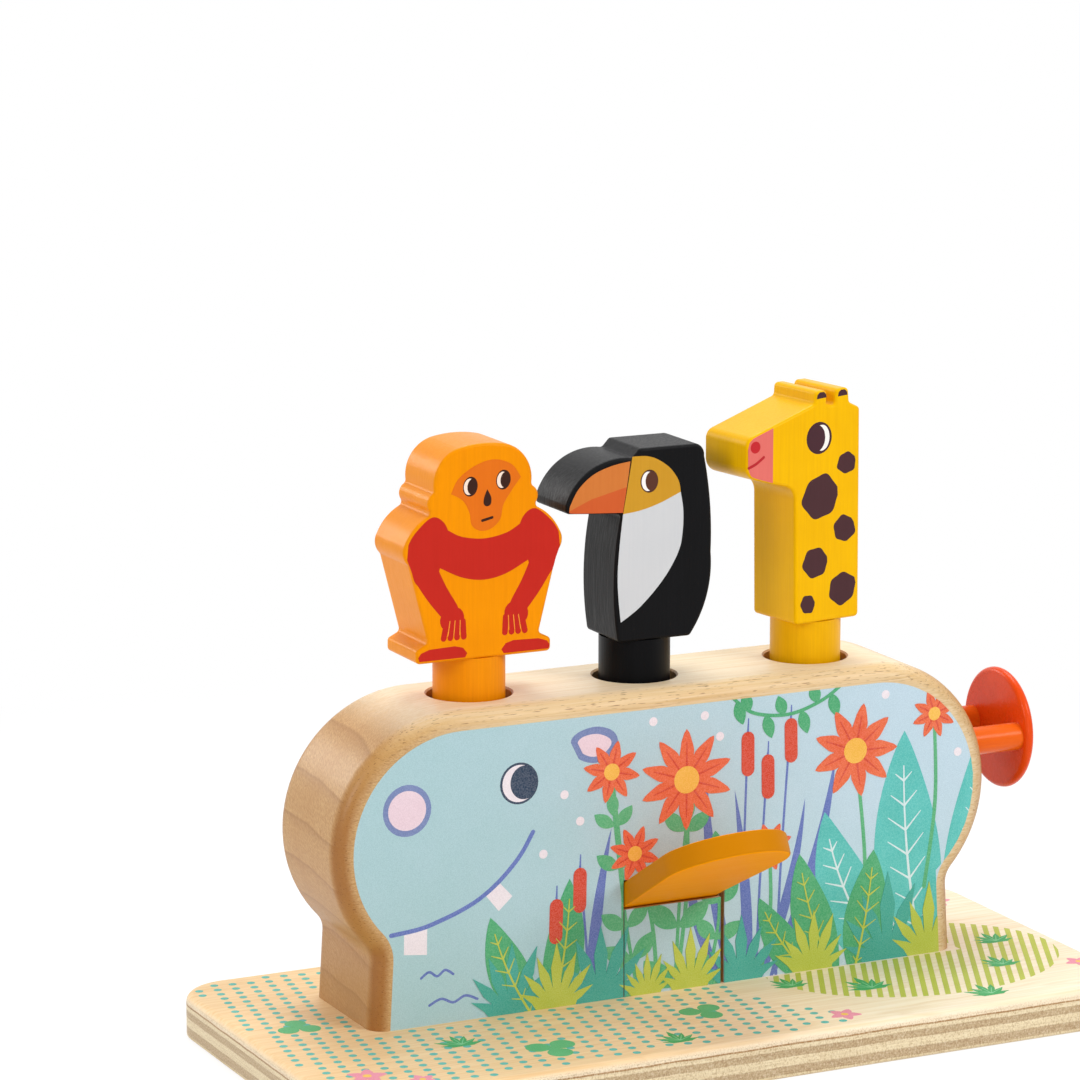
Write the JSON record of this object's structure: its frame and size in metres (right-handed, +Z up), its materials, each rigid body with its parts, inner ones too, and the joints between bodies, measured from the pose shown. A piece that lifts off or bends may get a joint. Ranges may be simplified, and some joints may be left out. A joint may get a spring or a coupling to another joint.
{
  "type": "pop up animal toy",
  "caption": "Wooden pop up toy for toddlers: a printed hippo block on a plywood base, with a monkey, a toucan and a giraffe on pegs worked by a spring, a paddle lever and a push plunger.",
  "frame": {"origin": "centre of the base board's underside", "axes": "+X along the base board, from the hippo's head to the plunger; +Y from the front to the back; +Z up"},
  "size_m": [0.31, 0.145, 0.22],
  "materials": {
    "base_plywood": "pale plywood with bare edge plies, printed and matt lacquered on top",
    "lacquered_wood": "light hardwood, satin lacquer",
    "printed_sheet": "pale blue printed sheet, matt",
    "paddle_paint": "orange yellow stain, satin",
    "monkey_paint": "orange stain with painted face and arms, satin",
    "toucan_paint": "black paint with printed bib and bill, satin",
    "giraffe_paint": "yellow paint with brown patches, satin",
    "plunger_paint": "orange red paint, gloss",
    "plain_wood": "bare beech, sanded",
    "screw_steel": "zinc plated",
    "axle_steel": "bright drawn",
    "spring_steel": "plain spring wire"
  },
  "bodies": {
    "block": {"base_board": "base_plywood", "base_screws": "screw_steel", "hippo_body": "lacquered_wood", "front_print": "printed_sheet", "notch_filler": "lacquered_wood", "filler_print": "printed_sheet", "lever_axle": "axle_steel", "axle_keepers": "plain_wood", "monkey_spring": "spring_steel", "wedge_guide_block": "plain_wood"},
    "lever": {"paddle_lever": "paddle_paint"},
    "plunger": {"plunger_disc": "plunger_paint", "plunger_rod_front": "plunger_paint", "plunger_rod_back": "plunger_paint", "plunger_wedge": "plain_wood"},
    "spring_cup": {"monkey_spring_cup": "plain_wood"},
    "toucan_tappet": {"toucan_tappet": "plain_wood"},
    "giraffe_tappet": {"giraffe_tappet": "plain_wood"},
    "monkey": {"monkey_figure": "monkey_paint", "monkey_peg": "monkey_paint"},
    "toucan": {"toucan_figure": "toucan_paint", "toucan_peg": "toucan_paint"},
    "giraffe": {"giraffe_figure": "giraffe_paint", "giraffe_peg": "giraffe_paint"}
  },
  "joints": [
    {"name": "monkey_press", "type": "slide", "parent": "block", "child": "spring_cup", "axis": [0, 0, 1], "range_m": [-0.0142, 0], "stiffness_N_per_m": 350, "springref_m": 0.009, "deforming": ["monkey_spring"]},
    {"name": "monkey_lift_out", "type": "slide", "parent": "spring_cup", "child": "monkey", "axis": [0, 0, 1], "range_m": [0, 0.1]},
    {"name": "paddle_press", "type": "hinge", "parent": "block", "child": "lever", "pos_m": [0, -0.0061, 0.05043], "axis": [1, 0, 0], "range_deg": [0, 28]},
    {"name": "toucan_pop", "type": "slide", "parent": "block", "child": "toucan_tappet", "axis": [0, 0, 1], "range_m": [0, 0.01053]},
    {"name": "toucan_lift_out", "type": "slide", "parent": "toucan_tappet", "child": "toucan", "axis": [0, 0, 1], "range_m": [0, 0.1]},
    {"name": "plunger_push", "type": "slide", "parent": "block", "child": "plunger", "axis": [-1, 0, 0], "range_m": [0, 0.015]},
    {"name": "giraffe_pop", "type": "slide", "parent": "block", "child": "giraffe_tappet", "axis": [0, 0, 1], "range_m": [0, 0.01051]},
    {"name": "giraffe_lift_out", "type": "slide", "parent": "giraffe_tappet", "child": "giraffe", "axis": [0, 0, 1], "range_m": [0, 0.1]}
  ],
  "couplings": [
    {"joint": "paddle_press", "follows": "toucan_pop", "rad_per_m": 46.405},
    {"joint": "giraffe_pop", "follows": "plunger_push", "ratio": 0.70021}
  ]
}
